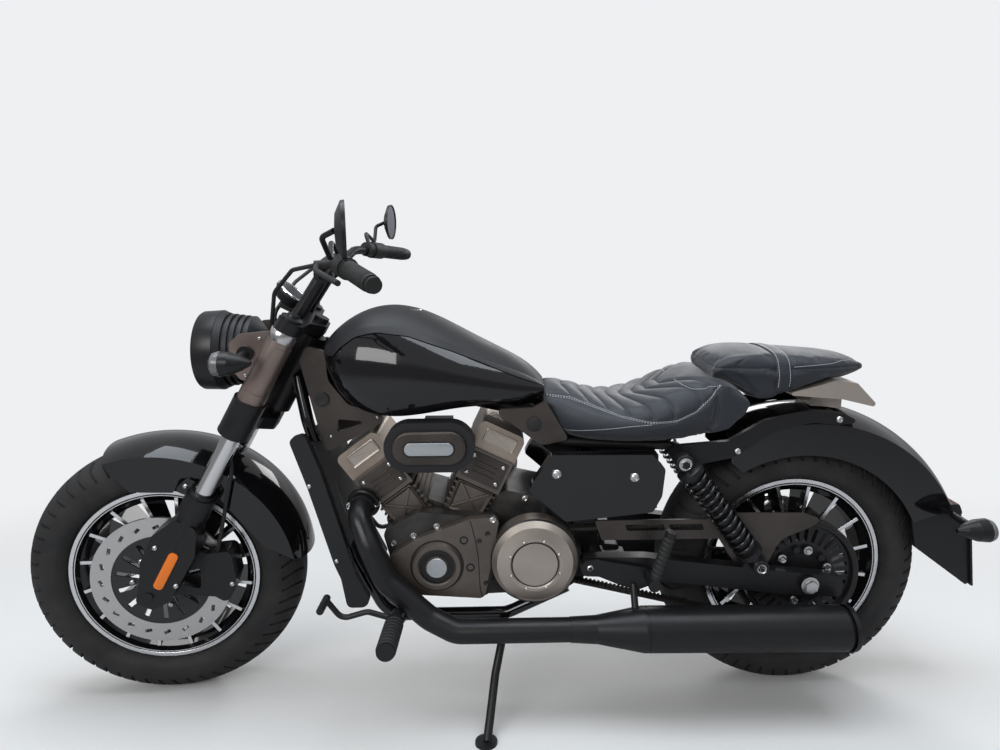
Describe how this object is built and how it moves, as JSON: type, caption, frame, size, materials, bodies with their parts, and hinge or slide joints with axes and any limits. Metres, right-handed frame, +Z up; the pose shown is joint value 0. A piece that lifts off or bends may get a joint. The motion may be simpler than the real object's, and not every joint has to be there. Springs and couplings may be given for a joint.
{
  "type": "cruiser motorcycle",
  "caption": "V-twin cruiser motorcycle with belt drive, cast wheels, stepped seat and low silencers, leaning on its side stand with the steering free to turn.",
  "frame": {"origin": "on the floor below the middle of the box round the parked machine", "axes": "+X towards the front wheel, +Y towards the rider's left, +Z up from the floor"},
  "size_m": [2.2691, 0.9138, 1.2651],
  "materials": {
    "tyre": "matt",
    "gloss_black": "gloss",
    "satin_black": "satin",
    "matt_black": "matt",
    "disc_steel": "ground",
    "steel": "machined",
    "chrome": "polished",
    "bronze": "satin metallic",
    "titanium": "satin metallic",
    "engine_black": "powder coated",
    "belt_rubber": "matt",
    "rubber": "matt",
    "leather": "grained",
    "champagne": "satin metallic",
    "plastic_black": "matt",
    "lens_clear": "clear",
    "lens_red": "ribbed"
  },
  "bodies": {
    "chassis": {"drive_belt": "belt_rubber", "crankcase": "engine_black", "cylinders": "engine_black", "head_covers": "bronze", "pulley_cover": "titanium", "engine_covers": "bronze", "air_cleaner": "matt_black", "backbone": "satin_black", "down_tubes": "gloss_black", "pivot_plates": "satin_black", "seat_rails": "satin_black", "electrics_box": "plastic_black", "radiator": "satin_black", "radiator_shrouds": "plastic_black", "neck_covers": "bronze", "fuel_tank": "gloss_black", "tank_saddle": "matt_black", "fuel_cap": "steel", "rider_seat": "leather", "rear_fender": "gloss_black", "tail_piece": "champagne", "pillion_seat": "leather", "fender_struts": "satin_black", "side_covers": "gloss_black", "swingarm": "satin_black", "shocks": "satin_black", "belt_guard": "plastic_black", "exhaust_left": "satin_black", "exhaust_right": "satin_black", "foot_pegs": "satin_black", "plate_carrier": "satin_black", "rear_lamps": "lens_red", "rear_axle": "steel", "rear_caliper": "satin_black"},
    "rear_wheel": {"rear_tyre": "tyre", "rear_rim": "gloss_black", "rear_disc": "disc_steel", "rear_pulley": "satin_black"},
    "side_stand": {"side_stand": "satin_black"},
    "steering": {"fork_tubes": "chrome", "fork_clamps": "satin_black", "fork_covers": "bronze", "lower_legs": "satin_black", "front_axle": "steel", "front_caliper": "satin_black", "front_fender": "gloss_black", "headlight_housing": "matt_black", "headlight_lens": "lens_clear", "headlight_brackets": "bronze", "front_indicators": "lens_clear", "handlebar": "satin_black", "hand_controls": "rubber", "mirrors": "satin_black", "gauge": "plastic_black", "cables": "rubber"},
    "front_wheel": {"front_tyre": "tyre", "front_rim": "gloss_black", "front_disc": "disc_steel"}
  },
  "joints": [
    {"name": "rear_wheel_spin", "type": "hinge", "parent": "chassis", "child": "rear_wheel", "pos_m": [-0.70956, -0.1174, 0.32046], "axis": [-0.0001, 0.9898, -0.1426], "continuous": true},
    {"name": "side_stand_fold", "type": "hinge", "parent": "chassis", "child": "side_stand", "pos_m": [-0.00465, -0.02634, 0.19465], "axis": [0.0004, 0.8289, 0.5594], "range_deg": [0, 100]},
    {"name": "steering_turn", "type": "hinge", "parent": "chassis", "child": "steering", "pos_m": [0.77607, -0.12094, 0.29475], "axis": [-0.4841, 0.1247, 0.8661], "range_deg": [-38.9, 29.1]},
    {"name": "front_wheel_spin", "type": "hinge", "parent": "steering", "child": "front_wheel", "pos_m": [0.8153, -0.11404, 0.31569], "axis": [-0.0748, 0.9803, -0.183], "continuous": true}
  ]
}
